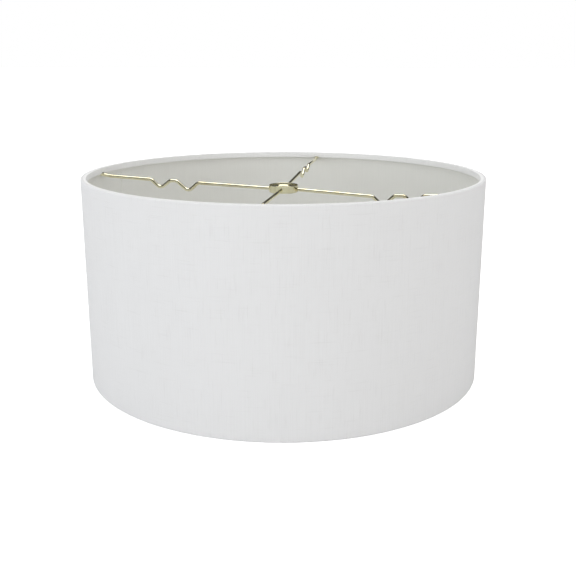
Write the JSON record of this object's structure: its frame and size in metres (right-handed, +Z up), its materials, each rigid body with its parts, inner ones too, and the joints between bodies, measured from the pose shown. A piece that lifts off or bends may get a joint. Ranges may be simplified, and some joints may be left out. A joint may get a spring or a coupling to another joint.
{
  "type": "lamp shade",
  "caption": "Shallow drum lamp shade: off-white linen on a styrene liner, with hems rolled over wire rings and a wire spider whose hub takes a threaded lamp post.",
  "frame": {"origin": "centre of the bottom rim, in the plane that the shade stands on", "axes": "+Z up along the drum's axis and out through the hub; the four spider arms lie along +X, -X, +Y and -Y, and the glued seam is near -X"},
  "size_m": [0.406, 0.406, 0.206],
  "materials": {
    "linen": "matt plain-weave linen with slubs",
    "styrene": "smooth satin sheet",
    "tape": "clear double-sided tape",
    "brass": "bright pale brass plate on steel"
  },
  "bodies": {
    "root": {"fabric_cover": "linen", "liner_panel": "styrene", "seam_tape": "tape", "top_ring": "brass", "bottom_ring": "brass", "top_ring_tape": "tape", "bottom_ring_tape": "tape", "arm_right": "brass", "arm_back": "brass", "arm_left": "brass", "arm_front": "brass", "arm_welds": "brass", "hub_cup": "brass", "hub_cap": "brass", "hub_eyelet": "brass"}
  },
  "joints": []
}
